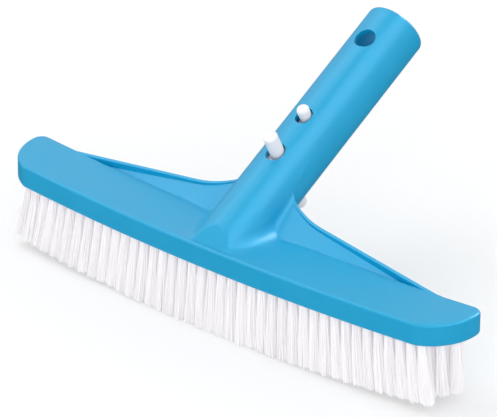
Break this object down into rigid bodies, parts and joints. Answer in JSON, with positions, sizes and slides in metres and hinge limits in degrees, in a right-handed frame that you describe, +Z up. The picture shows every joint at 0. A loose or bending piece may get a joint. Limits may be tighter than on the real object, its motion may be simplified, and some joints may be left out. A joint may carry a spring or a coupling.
{
  "type": "pool wall brush",
  "caption": "Curved brush head with white bristle rows, side wings and a hollow slanted handle that locks into a pole with a squeezable spring clip.",
  "frame": {"origin": "on the surface that the bristle tips stand on, under the middle of the whole brush", "axes": "+X along the head, +Y back towards the handle's open end, +Z up, away from the bristle tips"},
  "size_m": [0.2556, 0.1414, 0.1133],
  "materials": {
    "blue_plastic": "satin moulded plastic, light blue",
    "white_plastic": "satin moulded plastic, white",
    "bristle": "fine white synthetic filaments",
    "staple_wire": "plain flat wire"
  },
  "bodies": {
    "head": {"brush_body": "blue_plastic", "clip_bow": "white_plastic", "tufts_front_row": "bristle", "tufts_front_inner_row": "bristle", "tufts_middle_row": "bristle", "tufts_back_inner_row": "bristle", "tufts_back_row": "bristle", "staples_front_row": "staple_wire", "staples_front_inner_row": "staple_wire", "staples_middle_row": "staple_wire", "staples_back_inner_row": "staple_wire", "staples_back_row": "staple_wire"},
    "upper_arm": {"clip_arm_upper": "white_plastic"},
    "lower_arm": {"clip_arm_lower": "white_plastic"}
  },
  "joints": [
    {"name": "squeeze_upper_arm", "type": "hinge", "parent": "head", "child": "upper_arm", "pos_m": [0, 0.02555, 0.08789], "axis": [1, 0, 0], "range_deg": [0, 9], "stiffness_Nm_per_rad": 2.6, "springref_deg": -1.72},
    {"name": "squeeze_lower_arm", "type": "hinge", "parent": "head", "child": "lower_arm", "pos_m": [0, 0.03127, 0.07689], "axis": [-1, 0, 0], "range_deg": [0, 9], "stiffness_Nm_per_rad": 2.6, "springref_deg": -1.72}
  ]
}
